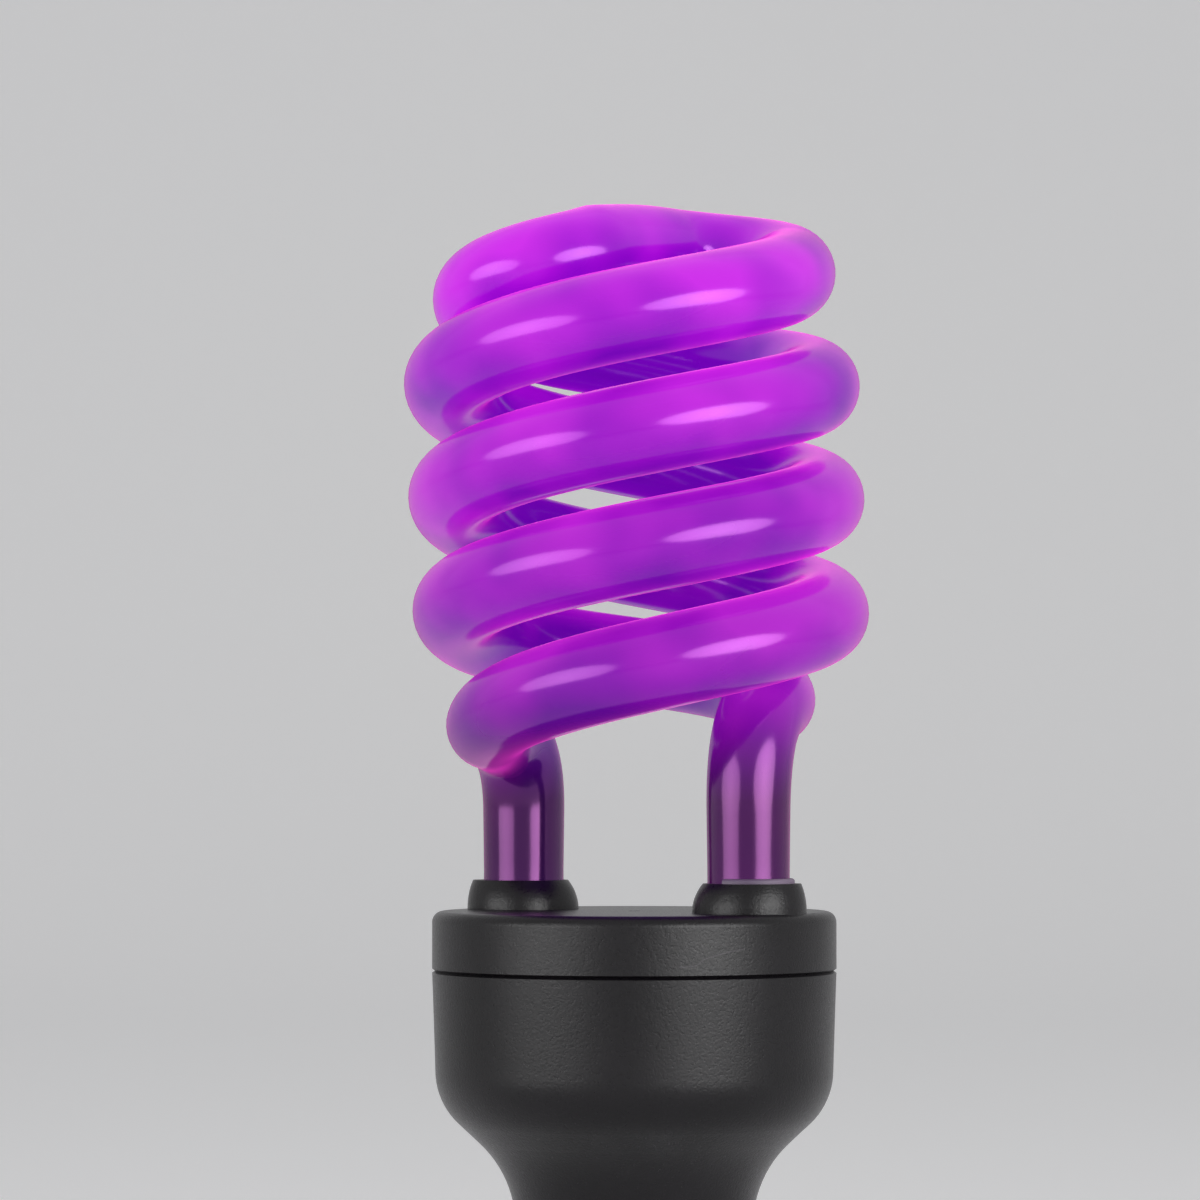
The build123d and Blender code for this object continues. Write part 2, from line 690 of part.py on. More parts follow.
# Choke bobbin: a spool round the middle leg, with cheeks up to its base on the board
spool_width = CORE_LEG + 2 * CORE_WINDOW - 2 * CHOKE_GAP
spool_top = core_top - CORE_YOKE
spool_height = CORE_HEIGHT - 2 * CORE_YOKE
with BuildPart() as choke_bobbin:
    with BuildSketch(Plane.XY.offset(spool_top)):
        with Locations(CHOKE_PLACE):
            Rectangle(spool_width, SPOOL_DEPTH)
    extrude(amount=-spool_height)
    with BuildSketch(Plane.XY.offset(spool_top - FLANGE)):
        with Locations(CHOKE_PLACE):
            Rectangle(2 * spool_width, 2 * SPOOL_DEPTH)
            Rectangle(CORE_LEG + 2 * FLANGE, CORE_DEPTH + 2 * FLANGE, mode=Mode.SUBTRACT)
    extrude(amount=-spool_height + 2 * FLANGE, mode=Mode.SUBTRACT)
    with BuildSketch(Plane.XY.offset(board_bottom)):
        with Locations(CHOKE_PLACE):
            Rectangle(CORE_WIDTH, SPOOL_DEPTH)
    extrude(amount=-CHOKE_BASE)
    with BuildSketch(Plane.XY.offset(core_top)):
        with Locations(CHOKE_PLACE):
            Rectangle(spool_width, SPOOL_DEPTH)
            Rectangle(CORE_WIDTH, CORE_DEPTH + 2 * CHOKE_GAP, mode=Mode.SUBTRACT)
    extrude(amount=-CORE_YOKE)
    with BuildSketch(Plane.XY.offset(spool_top)):
        with Locations(CHOKE_PLACE):
            Rectangle(CORE_LEG, CORE_DEPTH)
    extrude(amount=-spool_height, mode=Mode.SUBTRACT)
    leads_through(choke_leads)

# Choke winding: copper wire that fills the spool
with BuildPart() as choke_winding:
    with BuildSketch(Plane.XY.offset(spool_top - FLANGE)):
        with Locations(CHOKE_PLACE):
            RectangleRounded(spool_width - FLANGE, SPOOL_DEPTH - FLANGE, FLANGE)
            Rectangle(CORE_LEG + 2 * FLANGE, CORE_DEPTH + 2 * FLANGE, mode=Mode.SUBTRACT)
    extrude(amount=-spool_height + 2 * FLANGE)

# Film capacitors: dipped blocks with rounded edges
film_capacitors = {}
for name, place, size, leads in (
    ("starting_capacitor", STARTING_PLACE, STARTING_SIZE, starting_leads),
    ("coupling_capacitor", COUPLING_PLACE, (*COUPLING_SIZE, coupling_height), coupling_leads),
):
    with BuildPart() as film_capacitor:
        with BuildSketch(Plane.XY.offset(board_bottom)):
            with Locations(place):
                RectangleRounded(size[0], size[1], FILM_ROUND)
        extrude(amount=-size[2])
        fillet(film_capacitor.faces().sort_by(Axis.Z)[0].edges(), FILM_FOOT_ROUND)
        leads_through(leads)
    film_capacitors[name] = film_capacitor.part

# Transistors: two small packages with one flat side
transistors = {}
for name, place, leads in zip(("transistor_upper", "transistor_lower"), TRANSISTOR_PLACES, transistor_leads):
    with BuildPart() as transistor:
        with BuildSketch(Plane.XY.offset(board_bottom)):
            with Locations(place):
                Circle(TRANSISTOR_RADIUS)
            with Locations((place[0], place[1] - TRANSISTOR_FLAT)):
                Rectangle(
                    2 * TRANSISTOR_RADIUS,
                    TRANSISTOR_RADIUS,
                    align=(Align.CENTER, Align.MAX),
                    mode=Mode.SUBTRACT,
                )
        extrude(amount=-TRANSISTOR_HEIGHT)
        leads_through(leads)
    transistors[name] = transistor.part

# Toroid that drives the transistors
with BuildPart() as drive_toroid:
    with BuildSketch(Plane.XY.offset(board_bottom)):
        with Locations(TOROID_PLACE):
            Circle(TOROID_RADIUS)
            Circle(TOROID_BORE, mode=Mode.SUBTRACT)
    extrude(amount=-TOROID_HEIGHT)
    fillet(drive_toroid.edges().filter_by(GeomType.CIRCLE), TOROID_ROUND)
    leads_through(toroid_leads)


def axial_parts(places, leads, radius, length):
    """Adds one body with two bent leads at each place, lying on top of the board."""
    for place, ends in zip(places, leads):
        level = board_top + radius
        with BuildSketch(Plane.YZ.offset(place[0] - length / 2)) as body:
            with Locations((place[1], level)):
                Circle(radius)
        extrude(body.sketch, amount=length)
        with BuildLine() as bent:
            FilletPolyline(
                (*ends[0], board_bottom),
                (*ends[0], level),
                (*ends[1], level),
                (*ends[1], board_bottom),
                radius=LEAD_BEND,
            )
        with BuildSketch(Plane(origin=bent.line @ 0, z_dir=bent.line % 0)) as lead:
            Circle(LEAD_RADIUS)
        sweep(lead.sketch, path=bent.line)


# Rectifier: four diodes on top of the board
with BuildPart() as rectifier_diodes:
    axial_parts(DIODE_PLACES, diode_leads, DIODE_RADIUS, DIODE_LENGTH)

# Three resistors on top of the board
with BuildPart() as resistors:
    axial_parts(RESISTOR_PLACES, resistor_leads, RESISTOR_RADIUS, RESISTOR_LENGTH)

# Fusible resistor in the neck, on the lead to the centre contact
with BuildPart() as fusible_resistor:
    with BuildSketch(Plane.XY.offset(SOLDER_HEIGHT)):
        Circle(LEAD_RADIUS)
    extrude(amount=FUSE_TOP + FUSE_LEAD - SOLDER_HEIGHT)
    with BuildSketch(Plane.XY.offset(FUSE_TOP)):
        Circle(FUSE_RADIUS)
    extrude(amount=-FUSE_LENGTH)
    fuse_edges = fusible_resistor.edges().filter_by(GeomType.CIRCLE).sort_by(SortBy.RADIUS)[-2:]
    fillet(fuse_edges, FUSE_ROUND)


def insulated_wire(*points):
    """Adds an insulated wire along straight runs with rounded turns."""
    with BuildLine() as run:
        FilletPolyline(*points, radius=CABLE_BEND)
    with BuildSketch(Plane(origin=run.line @ 0, z_dir=run.line % 0)) as wire:
        Circle(CABLE_RADIUS)
    sweep(wire.sketch, path=run.line)


# Live wire, from the board to the fusible resistor
with BuildPart() as live_wire:
    insulated_wire(
        (*LIVE_PLACE, board_bottom),
        (*LIVE_PLACE, LIVE_TURN),
        (0, 0, FUSE_TOP + FUSE_LEAD + LIVE_DROP),
        (0, 0, FUSE_TOP + FUSE_LEAD),
    )

# Neutral wire, from the board to the inside of the screw shell
with BuildPart() as neutral_wire:
    neutral_level = (SPIGOT_FOOT + INSULATOR_TOP) / 2
    neutral_reach = sqrt((THREAD_ROOT - SHELL_WALL) ** 2 - (NEUTRAL_PLACE[1] + CABLE_RADIUS) ** 2)
    insulated_wire(
        (*NEUTRAL_PLACE, board_bottom),
        (*NEUTRAL_PLACE, NEUTRAL_TURN),
        (NEUTRAL_NECK, NEUTRAL_PLACE[1], NECK_TOP),
        (NEUTRAL_NECK, NEUTRAL_PLACE[1], neutral_level),
        (neutral_reach, NEUTRAL_PLACE[1], neutral_level),
    )

# Files, one for each piece
pieces = {
    "discharge_tube": discharge_tube.part,
    "tube_cover": tube_cover.part,
    "ballast_housing": ballast_housing.part,
    **leg_cements,
    "screw_shell": screw_shell.part,
    "cap_insulator": cap_insulator.part,
    "centre_contact": centre_contact.part,
    "contact_solder": contact_solder.part,
    "circuit_board": circuit_board.part,
    "wrap_pins": wrap_pins.part,
    **lead_wires,
    "smoothing_capacitor": smoothing_capacitor.part,
    "choke_core": choke_core.part,
    "choke_bobbin": choke_bobbin.part,
    "choke_winding": choke_winding.part,
    **film_capacitors,
    **transistors,
    "drive_toroid": drive_toroid.part,
    "rectifier_diodes": rectifier_diodes.part,
    "resistors": resistors.part,
    "fusible_resistor": fusible_resistor.part,
    "live_wire": live_wire.part,
    "neutral_wire": neutral_wire.part,
}
for name, piece in pieces.items():
    piece.label = name
    export_step(piece, f"parts/{name}.step")
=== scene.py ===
"""Looks of a spiral black-light lamp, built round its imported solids.

Metres, +Z up the lamp, origin on the axis at the foot of the centre contact.
The lamp is seen from -Y, with +X to the right.
"""

import logging
import math
from dataclasses import dataclass, replace
from enum import Enum
from functools import cache

import bmesh
import bpy
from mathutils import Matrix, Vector

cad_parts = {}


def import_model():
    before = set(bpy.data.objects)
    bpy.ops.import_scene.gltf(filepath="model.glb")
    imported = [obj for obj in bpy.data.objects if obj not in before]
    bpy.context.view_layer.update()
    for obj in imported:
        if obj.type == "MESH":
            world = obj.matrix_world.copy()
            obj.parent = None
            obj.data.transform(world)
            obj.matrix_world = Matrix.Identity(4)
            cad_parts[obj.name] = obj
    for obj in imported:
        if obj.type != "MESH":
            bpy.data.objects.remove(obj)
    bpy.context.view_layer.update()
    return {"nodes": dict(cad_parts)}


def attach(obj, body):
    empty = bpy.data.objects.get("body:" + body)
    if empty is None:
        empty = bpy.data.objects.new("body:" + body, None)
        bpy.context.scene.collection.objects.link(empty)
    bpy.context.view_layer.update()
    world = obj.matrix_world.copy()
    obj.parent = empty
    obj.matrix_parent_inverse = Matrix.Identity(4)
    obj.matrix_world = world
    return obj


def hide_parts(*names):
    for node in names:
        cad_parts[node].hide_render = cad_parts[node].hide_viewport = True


Colour = tuple[float, float, float]
Span = tuple[float, float]
Socket = bpy.types.NodeSocket
Tree = bpy.types.NodeTree

MM = 0.001
UNIT: Span = (0.0, 1.0)

# Places of the colour sockets in a Mix node, whose names repeat for each data type
MIX_FIRST, MIX_SECOND, MIX_RESULT = 6, 7, 2

# Slow change of tone in a finish: noise to a metre, its detail, and where the two colours lie on it
TONE_SCALE, TONE_DETAIL = 90.0, 3.0
TONE_START, TONE_END = 0.35, 0.68

# Fine surface of a finish
BUMP_STRENGTH = 0.6
GRAIN_ROUGHNESS = 0.62
SPARKED_DETAIL, PLAIN_DETAIL = 4.0, 2.0
DRAWN_STRETCH = (1.0, 1.0, 14.0)
WAVE_RADIANS = 20
WAVE_DISTORTION = 0.6

logging.basicConfig(level=logging.INFO, format="%(name)s: %(message)s")
log = logging.getLogger("lamp")


class Grain(Enum):
    """The kinds of fine surface that the finishes choose from."""

    SPARKED = "sparked"
    DRAWN = "drawn"
    CAST = "cast"
    WOUND = "wound"


def smooth(share: float) -> float:
    """Eases from 0 to 1.

    Args:
        share: how far along, held between 0 and 1.

    Returns:
        The eased share.
    """
    share = min(max(share, 0.0), 1.0)
    return share * share * (3 - 2 * share)


def sum_of(tree: Tree, operation: str, *terms: Socket | float) -> Socket:
    """Adds one Math node.

    Args:
        tree: the tree to add it to.
        operation: what the node works out.
        terms: sockets or plain numbers, in the order of the node's inputs.

    Returns:
        The socket that holds the result.
    """
    node = tree.nodes.new("ShaderNodeMath")
    node.operation = operation
    for place, term in zip(node.inputs, terms):
        if isinstance(term, float):
            place.default_value = term
        else:
            tree.links.new(term, place)
    return node.outputs[0]


def ranged(
    tree: Tree, value: Socket, source: Span, target: Span, clamp: bool = True, shape: str = "LINEAR"
) -> Socket:
    """Adds one Map Range node.

    Args:
        tree: the tree to add it to.
        value: the socket to map.
        source: the range that the value comes in.
        target: the range that it is mapped to.
        clamp: whether the result is held inside the target range.
        shape: the kind of interpolation.

    Returns:
        The socket that holds the result.
    """
    node = tree.nodes.new("ShaderNodeMapRange")
    node.clamp = clamp
    node.interpolation_type = shape
    for name, limit in zip(("From Min", "From Max", "To Min", "To Max"), (*source, *target)):
        node.inputs[name].default_value = limit
    tree.links.new(value, node.inputs["Value"])
    return node.outputs["Result"]


def clouded(tree: Tree, coords: Socket, scale: float, detail: float, roughness: float = 0.5) -> Socket:
    """Adds one noise texture.

    Args:
        tree: the tree to add it to.
        coords: the coordinates that it reads.
        scale: how many clouds there are to a metre.
        detail: how many finer layers it has.
        roughness: how strong the finer layers are.

    Returns:
        The socket that holds the noise.
    """
    node = tree.nodes.new("ShaderNodeTexNoise")
    for name, value in (("Scale", scale), ("Detail", detail), ("Roughness", roughness)):
        node.inputs[name].default_value = value
    tree.links.new(coords, node.inputs["Vector"])
    return node.outputs["Fac"]


def toned(tree: Tree, value: Socket, stops: dict[float, Colour]) -> Socket:
    """Adds one colour ramp.

    Args:
        tree: the tree to add it to.
        value: the socket that picks the colour.
        stops: linear colours by their places from 0 to 1.

    Returns:
        The socket that holds the colour.
    """
    node = tree.nodes.new("ShaderNodeValToRGB")
    ramp = node.color_ramp.elements
    places = sorted(stops)
    ramp[0].position = places[0]
    ramp[1].position = places[-1]
    for place in places[1:-1]:
        ramp.new(place)
    for stop, place in zip(ramp, places):
        stop.color = (*stops[place], 1)
    tree.links.new(value, node.inputs["Fac"])
    return node.outputs["Color"]


def carried(tree: Tree, name: str) -> Socket:
    """Reads a value that a mesh carries at its points.

    Args:
        tree: the tree to add the node to.
        name: the attribute's name.

    Returns:
        The socket that holds the value.
    """
    node = tree.nodes.new("ShaderNodeAttribute")
    node.attribute_name = name
    return node.outputs["Fac"]


@dataclass(frozen=True)
class Scratch:
    """One fine scratch round an upright wall.

    Attributes:
        points: degrees to the right of the front, and height in millimetres.
        width: half of its width, in millimetres.
        colour: linear colour of the bared plastic.
        strength: how far it hides the finish under it.
    """

    points: tuple[Span, ...]
    width: float = 0.11
    colour: Colour = (0.075, 0.066, 0.078)
    strength: float = 0.55

    def mask(self, tree: Tree, coords: Socket) -> Socket:
        """Adds the nodes that find the scratch.

        Args:
            tree: the material's node tree.
            coords: the object coordinates.

        Returns:
            The socket that is 0 off the scratch and up to its strength on it.
        """

        split = tree.nodes.new("ShaderNodeSeparateXYZ")
        tree.links.new(coords, split.inputs["Vector"])
        towards = sum_of(tree, "MULTIPLY", split.outputs["Y"], -1.0)
        turn = sum_of(tree, "ARCTAN2", split.outputs["X"], towards)
        (turn_a, low), (turn_b, high) = self.points[0], self.points[-1]
        turns = (math.radians(turn_a), math.radians(turn_b))
        along = ranged(tree, turn, turns, UNIT, clamp=False)
        path = tree.nodes.new("ShaderNodeFloatCurve")
        line = path.mapping.curves[0]
        for turned, rise in self.points[1:-1]:
            line.points.new((turned - turn_a) / (turn_b - turn_a), (rise - low) / (high - low))
        path.mapping.update()
        tree.links.new(along, path.inputs["Value"])
        level = ranged(tree, split.outputs["Z"], (low * MM, high * MM), UNIT, clamp=False)
        off = sum_of(tree, "ABSOLUTE", sum_of(tree, "SUBTRACT", level, path.outputs["Value"]))
        near = ranged(tree, off, (0.0, self.width / (high - low)), (self.strength, 0.0))
        after = sum_of(tree, "GREATER_THAN", along, 0.0)
        before = sum_of(tree, "LESS_THAN", along, 1.0)
        return sum_of(tree, "MULTIPLY", near, sum_of(tree, "MULTIPLY", after, before))


@dataclass(frozen=True)
class Finish:
    """One opaque finish: colour, gloss, fine grain and a slow change of tone.

    Attributes:
        name: the record's material slot.
        colour: linear base colour.
        second: linear colour that the tone drifts to.
        roughness: middle of the roughness range.
        spread: how far roughness moves either way.
        metallic: 0 for plastic, 1 for metal.
        grain: the kind of fine surface.
        grain_size: distance between grains, in metres.
        depth: height of the grain, in metres.
        coat: weight of a clear lacquer on top.
        shine: strength of the plain reflection, 0.5 for common plastics.
        scratch: a scratch in the surface, where it has one.
    """

    name: str
    colour: Colour
    second: Colour
    roughness: float = 0.5
    spread: float = 0.08
    metallic: float = 0.0
    grain: Grain = Grain.CAST
    grain_size: float = 0.0006
    depth: float = 0.00002
    coat: float = 0.0
    shine: float = 0.5
    scratch: Scratch | None = None

    def pattern(self, tree: Tree, coords: Socket) -> Socket:
        """Adds the nodes of the fine surface.

        Args:
            tree: the material's node tree.
            coords: the object coordinates.

        Returns:
            The socket that holds the grain's height, from 0 to 1.
        """
        mapping = tree.nodes.new("ShaderNodeMapping")
        if self.grain is Grain.DRAWN:
            mapping.inputs["Scale"].default_value = DRAWN_STRETCH
        tree.links.new(coords, mapping.inputs["Vector"])
        stretched = mapping.outputs["Vector"]
        if self.grain is Grain.WOUND:
            wave = tree.nodes.new("ShaderNodeTexWave")
            wave.bands_direction = "Z"
            wave.inputs["Scale"].default_value = 1 / (self.grain_size * WAVE_RADIANS)
            wave.inputs["Distortion"].default_value = WAVE_DISTORTION
            tree.links.new(stretched, wave.inputs["Vector"])
            return wave.outputs["Fac"]
        detail = SPARKED_DETAIL if self.grain is Grain.SPARKED else PLAIN_DETAIL
        return clouded(tree, stretched, 1 / self.grain_size, detail, GRAIN_ROUGHNESS)

    @cache
    def material(self) -> bpy.types.Material:
        """Builds the finish once and returns it."""
        made = bpy.data.materials.new(f"{self.name}_finish")
        made.use_nodes = True
        tree = made.node_tree
        shader = tree.nodes["Principled BSDF"]
        coords = tree.nodes.new("ShaderNodeTexCoord").outputs["Object"]
        height = self.pattern(tree, coords)

        cloud = clouded(tree, coords, TONE_SCALE, TONE_DETAIL)
        tone = toned(tree, cloud, {TONE_START: self.colour, TONE_END: self.second})
        if self.scratch is not None:
            bared = tree.nodes.new("ShaderNodeMix")
            bared.data_type = "RGBA"
            tree.links.new(self.scratch.mask(tree, coords), bared.inputs["Factor"])
            tree.links.new(tone, bared.inputs[MIX_FIRST])
            bared.inputs[MIX_SECOND].default_value = (*self.scratch.colour, 1)
            tone = bared.outputs[MIX_RESULT]
        tree.links.new(tone, shader.inputs["Base Color"])

        gloss = (self.roughness - self.spread, self.roughness + self.spread)
        tree.links.new(ranged(tree, height, UNIT, gloss), shader.inputs["Roughness"])
        bump = tree.nodes.new("ShaderNodeBump")
        bump.inputs["Strength"].default_value = BUMP_STRENGTH
        bump.inputs["Distance"].default_value = self.depth
        tree.links.new(height, bump.inputs["Height"])
        tree.links.new(bump.outputs["Normal"], shader.inputs["Normal"])

        shader.inputs["Metallic"].default_value = self.metallic
        shader.inputs["Coat Weight"].default_value = self.coat
        shader.inputs["Specular IOR Level"].default_value = self.shine
        return made


BRASS = Finish(
    "contact_brass", (0.60, 0.42, 0.18), (0.68, 0.50, 0.24), roughness=0.3, metallic=1.0, grain=Grain.DRAWN
)


@dataclass(frozen=True)
class LitGlass:
    """Violet glass with the discharge alight inside it, its glow painted with light on the tops of the
    turns and with shade on their undersides and inner sides.

    Attributes:
        name: the record's material slot.
        deep: linear colour of the glow where the tone is lowest: darker clouds, and painted shade on the
            underside and inner side of a turn.
        middle: linear colour of the glow on the flank of a turn.
        bright: linear colour of the glow where the tone is highest: lighter clouds, and a painted highlight
            on the top of a turn.
        leg_body: linear colour of the glass in the legs.
        body: linear colour of the glass in the coil.
        glow: strength of the light given off.
        clearness: share of light that passes through.
        dark_below: height under which the legs hardly glow, in metres.
        lit_above: height over which the tube is alight, in metres.
        brightest_above: height over which it glows fully, in metres.
        low_share: share of the full glow at lit_above.
        cloud_scale: how many clouds of tone there are to a metre.
        cloud_detail: how many finer layers the clouds have.
        cloud_range: the part of the noise that is used.
        cloud_tone: the places on the ramp that the clouds reach.
        painted_light_from_above: how far facing up lightens the tone and facing down darkens it: a painted
            highlight on the tops and painted shade on the undersides of the turns.
        painted_shade_inside: how far facing the axis darkens the tone and facing away lightens it: painted
            shade on the inner sides of the turns.
        tone_places: places of deep, middle and bright on the ramp.
        ember: least share of the full glow.
        roughness: roughness of the glass.
        index: index of refraction.
        tint: colour of the reflection.
        sheen_roughness: how wide the coloured rim is.
        sheen_tint: colour of the rim.
    """

    name: str
    deep: Colour
    middle: Colour
    bright: Colour
    leg_body: Colour
    body: Colour
    glow: float
    clearness: float
    dark_below: float
    lit_above: float
    brightest_above: float
    low_share: float
    cloud_scale: float = 55.0
    cloud_detail: float = 2.0
    cloud_range: Span = (0.3, 0.7)
    cloud_tone: Span = (0.18, 0.78)
    painted_light_from_above: float = 0.20
    painted_shade_inside: float = 0.17
    tone_places: tuple[float, float, float] = (0.30, 0.58, 0.90)
    ember: float = 0.06
    roughness: float = 0.15
    index: float = 1.5
    tint: Colour = (1.0, 0.36, 1.0)
    sheen_roughness: float = 0.35
    sheen_tint: Colour = (1.0, 0.06, 0.62)

    @cache
    def material(self) -> bpy.types.Material:
        """Builds the glass once and returns it."""
        made = bpy.data.materials.new(f"{self.name}_finish")
        made.use_nodes = True
        tree = made.node_tree
        shader = tree.nodes["Principled BSDF"]
        coords = tree.nodes.new("ShaderNodeTexCoord").outputs["Object"]

        cloud = clouded(tree, coords, self.cloud_scale, self.cloud_detail)
        drift = ranged(tree, cloud, self.cloud_range, self.cloud_tone)
        # Painted shade and highlight: the tone darkens where the glass faces down or towards the coil's
        # axis, and lightens where it faces up or outwards.
        drift_and_painted_shade = sum_of(tree, "MULTIPLY_ADD", carried(tree, "outward"), self.painted_shade_inside, drift)
        lean = sum_of(tree, "MULTIPLY_ADD", carried(tree, "upward"), self.painted_light_from_above, drift_and_painted_shade)
        stops = dict(zip(self.tone_places, (self.deep, self.middle, self.bright)))
        tree.links.new(toned(tree, lean, stops), shader.inputs["Emission Color"])

        split = tree.nodes.new("ShaderNodeSeparateXYZ")
        tree.links.new(coords, split.inputs["Vector"])
        rise = split.outputs["Z"]
        fade = ranged(tree, rise, (self.dark_below, self.lit_above), UNIT, shape="SMOOTHSTEP")
        levels = (self.glow * self.low_share, self.glow)
        climb = ranged(tree, rise, (self.lit_above, self.brightest_above), levels)
        strength = sum_of(tree, "MULTIPLY", fade, climb)
        lit = sum_of(tree, "MAXIMUM", strength, self.glow * self.ember)
        tree.links.new(lit, shader.inputs["Emission Strength"])
        glass = toned(tree, fade, {0.0: self.leg_body, 1.0: self.body})
        tree.links.new(glass, shader.inputs["Base Color"])

        shader.inputs["Roughness"].default_value = self.roughness
        shader.inputs["IOR"].default_value = self.index
        shader.inputs["Transmission Weight"].default_value = self.clearness
        shader.inputs["Specular IOR Level"].default_value = 1.0
        shader.inputs["Specular Tint"].default_value = (*self.tint, 1)
        shader.inputs["Sheen Weight"].default_value = 1.0
        shader.inputs["Sheen Roughness"].default_value = self.sheen_roughness
        shader.inputs["Sheen Tint"].default_value = (*self.sheen_tint, 1)
        return made


@dataclass(frozen=True)
class TubeHalf:
    """One half of the hand-bent tube, from the crest to the foot of its leg.

    Attributes:
        side: 1 for the half that starts to the right, -1 for the other.
        bridge_reach: how far the bridge reaches from the axis, in millimetres.
        start_drop: how much lower the coil starts than its common top.
        crest_power: how late the bridge falls away from the crest.
        widen_turn: degrees over which the coil reaches its full radius.
        end_radius: the coil's radius where it ends.
        end_lift: how much the coil's end is lifted.
        bend_out: how far the bend goes on along the coil.
        bend_down: how far the bend comes straight down into the leg.
        leg_depth: how far the leg stands behind the axis.
    """

    side: int
    bridge_reach: float
    start_drop: float
    crest_power: float
    widen_turn: float
    end_radius: float
    end_lift: float
    bend_out: float
    bend_down: float
    leg_depth: float


@dataclass
class DischargeTube:
    """The glass tube: a coil of two strands joined over the top, and its two legs."""

    right: TubeHalf = TubeHalf(1, 19.6, 0.0, 2.6, 116.0, 15.4, 2.7, 5.0, 14.7, -9.9)
    left: TubeHalf = TubeHalf(-1, 18.1, 3.3, 1.25, 161.0, 18.7, -0.4, 5.1, 11.7, 10.8)
    leg_spread: float = 13.4
    coil_radius: float = 21.95
    half_turn_rise: float = 13.6
    coil_top: float = 141.246
    crest: float = 144.446
    coil_lean: float = 2.23
    coil_tilt: float = 0.17
    coil_middle: float = 114.046
    coil_shift: float = 0.25
    coil_turn: float = 712.0
    pull_in_turn: float = 560.0
    drop_turn: float = 170.0
    bridge_turn: float = 141.2
    fine_turn: float = 3.0
    bend_steps: int = 60
    bend_foot: float = 76.6
    leg_join: float = 69.6
    tube_end: float = 60.2
    glass_radius: float = 5.42
    leg_radius: float = 4.86
    end_round: float = 1.6
    end_steps: int = 6
    bend_reach: float = 42.0
    sides: int = 40
    ease_reach: int = 16
    ease_passes: int = 60
    glass: LitGlass = LitGlass(
        "lit_tube",
        # deep and bright also serve as painted shade on the undersides and inner sides of the turns, and as
        # a painted highlight on their tops.
        deep=(0.115, 0.0004, 0.36),
        middle=(0.31, 0.002, 0.52),
        bright=(0.56, 0.016, 0.70),
        leg_body=(0.020, 0.006, 0.032),
        body=(0.055, 0.002, 0.11),
        glow=0.96,
        clearness=0.30,
        dark_below=0.074,
        lit_above=0.094,
        brightest_above=0.138,
        low_share=0.66,
    )

    def bridge(self, half: TubeHalf) -> list[Vector]:
        """Half of the S over the top.

        Args:
            half: the half to follow.

        Returns:
            Points from the crest to the start of the coil.
        """
        turn = math.radians(self.bridge_turn)
        arc_radius = -half.bridge_reach * math.cos(turn) / (1 - math.cos(turn))
        centre = half.bridge_reach - arc_radius
        corner = Vector((centre + arc_radius * math.cos(turn), arc_radius * math.sin(turn), 0))
        length = corner.length + arc_radius * turn
        fall = self.crest - (self.coil_top - half.start_drop)
        steps = round(corner.length)
        points = []
        for i in range(steps):
            flat = corner * (i / steps)
            share = corner.length * i / steps / length
            points.append(Vector((flat.x, flat.y, self.crest - fall * share**half.crest_power)))
        arc_steps = round(self.bridge_turn / self.fine_turn)
        for i in range(arc_steps + 1):
            angle = turn * (1 - i / arc_steps)
            share = (corner.length + arc_radius * (turn - angle)) / length
            height = self.crest - fall * share**half.crest_power
            flat = (centre + arc_radius * math.cos(angle), arc_radius * math.sin(angle))
            points.append(Vector((*flat, height)))
        return points

    def coil(self, half: TubeHalf) -> list[Vector]:
        """The helix below the bridge.

        Args:
            half: the half to follow.

        Returns:
            Points from the start of the coil to its end.
        """
        steps = round(self.coil_turn / self.fine_turn)
        points = []
        for i in range(1, steps + 1):
            turned = self.coil_turn * i / steps
            ending = smooth((turned - self.pull_in_turn) / (self.coil_turn - self.pull_in_turn))
            opening = smooth(turned / half.widen_turn)
            radius = half.bridge_reach + (self.coil_radius - half.bridge_reach) * opening
            radius += (half.end_radius - radius) * ending
            height = self.coil_top - self.half_turn_rise * turned / 180 + half.end_lift * ending
            height -= half.start_drop * (1 - smooth(turned / self.drop_turn))
            angle = -math.radians(turned)
            points.append(Vector((radius * math.cos(angle), radius * math.sin(angle), height)))
        return points

    def leaned(self, point: Vector, half: TubeHalf) -> Vector:
        """Turns a point to its own side and gives the coil its slight lean.

        Args:
            point: a point of the upright coil, in millimetres.
            half: the half that it belongs to.

        Returns:
            The point in its place.
        """
        x, y = point.x * half.side, point.y * half.side
        lean = math.tan(math.radians(self.coil_lean)) * (point.z - self.coil_middle)
        return Vector((x - lean + self.coil_shift, y, point.z + x * math.tan(math.radians(self.coil_tilt))))

    def route(self, half: TubeHalf) -> list[Vector]:
        """The whole half, from the crest down to the end of its leg.

        Args:
            half: the half to follow.

        Returns:
            Points in millimetres.
        """
        points = [self.leaned(p, half) for p in (*self.bridge(half), *self.coil(half))]
        start, way = points[-1], (points[-1] - points[-2]).normalized()
        leg = Vector((half.side * self.leg_spread, half.leg_depth, 0))
        foot = leg + Vector((0, 0, self.bend_foot))
        controls = (start, start + way * half.bend_out, foot + Vector((0, 0, half.bend_down)), foot)
        for i in range(1, self.bend_steps + 1):
            t = i / self.bend_steps
            weights = ((1 - t) ** 3, 3 * (1 - t) ** 2 * t, 3 * (1 - t) * t * t, t**3)
            points.append(sum((p * w for p, w in zip(controls, weights)), Vector()))
        steps = round(self.bend_foot - self.tube_end - self.end_round)
        low = self.tube_end + self.end_round
        for i in range(1, steps + 1):
            points.append(leg + Vector((0, 0, self.bend_foot + (low - self.bend_foot) * i / steps)))
        return points

